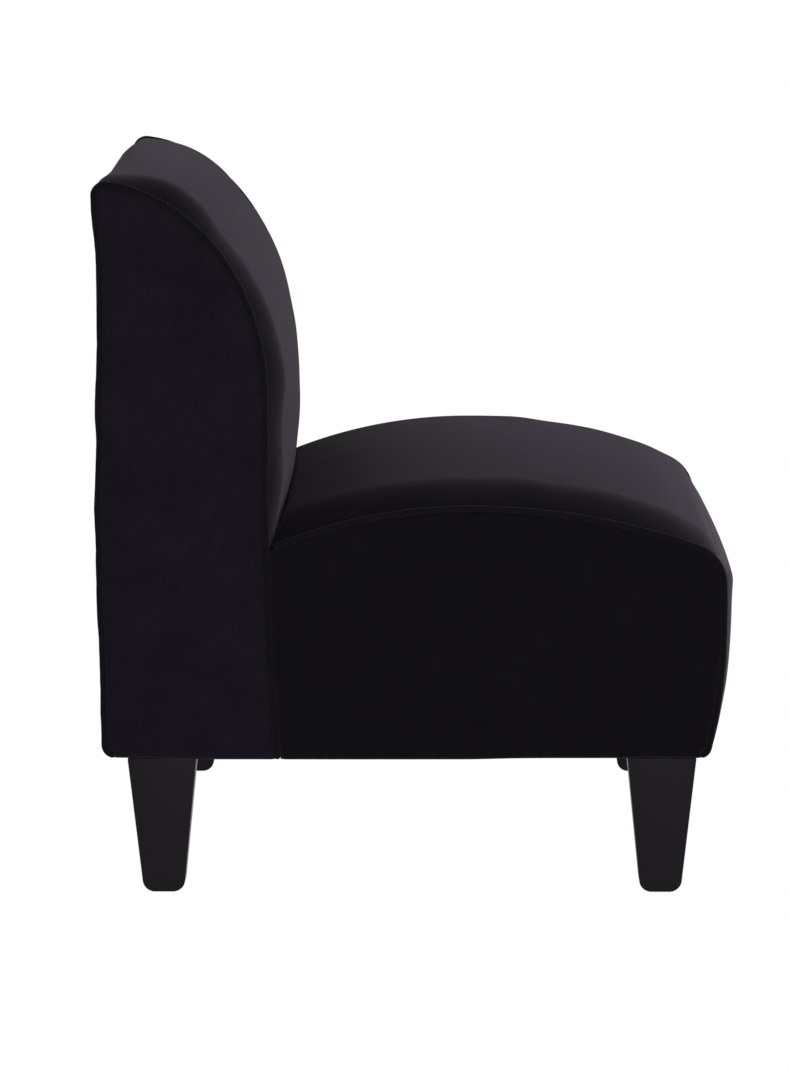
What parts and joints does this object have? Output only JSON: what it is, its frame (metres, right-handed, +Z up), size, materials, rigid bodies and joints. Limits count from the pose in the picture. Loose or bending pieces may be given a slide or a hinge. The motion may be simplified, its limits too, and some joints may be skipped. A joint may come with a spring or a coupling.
{
  "type": "slipper chair",
  "caption": "Armless upholstered slipper chair: an arched back module and a crowned seat module, piped at the sides, on tapered wooden legs.",
  "frame": {"origin": "on the floor, midway between the chair's extremes in width and depth", "axes": "+Z up, the sitter faces -Y, +X to the sitter's left; right and left in node names are the sitter's"},
  "size_m": [0.603, 0.6978, 0.7809],
  "materials": {
    "black_velvet": "matte",
    "velvet_piping": "matte",
    "dark_lacquered_wood": "satin",
    "plywood": "matte",
    "frame_hardwood": "matte",
    "foam": "matte",
    "spring_steel": "satin",
    "zinc_steel": "satin",
    "felt": "matte",
    "elastic_webbing": "matte",
    "dust_cover_cloth": "matte"
  },
  "bodies": {
    "root": {"leg_rear_right": "dark_lacquered_wood", "hanger_bolt_rear_right": "zinc_steel", "tee_nut_rear_right": "zinc_steel", "corner_block_rear_right": "frame_hardwood", "leg_rear_left": "dark_lacquered_wood", "hanger_bolt_rear_left": "zinc_steel", "tee_nut_rear_left": "zinc_steel", "corner_block_rear_left": "frame_hardwood", "leg_front_right": "dark_lacquered_wood", "hanger_bolt_front_right": "zinc_steel", "tee_nut_front_right": "zinc_steel", "corner_block_front_right": "frame_hardwood", "leg_front_left": "dark_lacquered_wood", "hanger_bolt_front_left": "zinc_steel", "tee_nut_front_left": "zinc_steel", "corner_block_front_left": "frame_hardwood", "back_side_frame_right": "plywood", "back_side_frame_left": "plywood", "back_top_rail": "frame_hardwood", "back_web_rail": "frame_hardwood", "back_rear_rail": "frame_hardwood", "back_joint_rail": "frame_hardwood", "lag_screw_1": "zinc_steel", "lag_screw_2": "zinc_steel", "back_web_1": "elastic_webbing", "back_web_2": "elastic_webbing", "back_web_3": "elastic_webbing", "back_foam": "foam", "back_inside_cover": "black_velvet", "back_outside_cover": "black_velvet", "back_side_cover_right": "black_velvet", "back_piping_right": "velvet_piping", "back_side_cover_left": "black_velvet", "back_piping_left": "velvet_piping", "seat_side_frame_right": "plywood", "seat_side_frame_left": "plywood", "seat_front_rail": "frame_hardwood", "seat_rear_rail": "frame_hardwood", "seat_spring_1": "spring_steel", "spring_clip_rear_1": "zinc_steel", "spring_clip_front_1": "zinc_steel", "seat_spring_2": "spring_steel", "spring_clip_rear_2": "zinc_steel", "spring_clip_front_2": "zinc_steel", "seat_spring_3": "spring_steel", "spring_clip_rear_3": "zinc_steel", "spring_clip_front_3": "zinc_steel", "seat_spring_4": "spring_steel", "spring_clip_rear_4": "zinc_steel", "spring_clip_front_4": "zinc_steel", "seat_insulator": "felt", "seat_foam": "foam", "seat_top_cover": "black_velvet", "seat_front_cover": "black_velvet", "seat_side_cover_right": "black_velvet", "seat_piping_right": "velvet_piping", "seat_side_cover_left": "black_velvet", "seat_piping_left": "velvet_piping", "dust_cover": "dust_cover_cloth"}
  },
  "joints": []
}
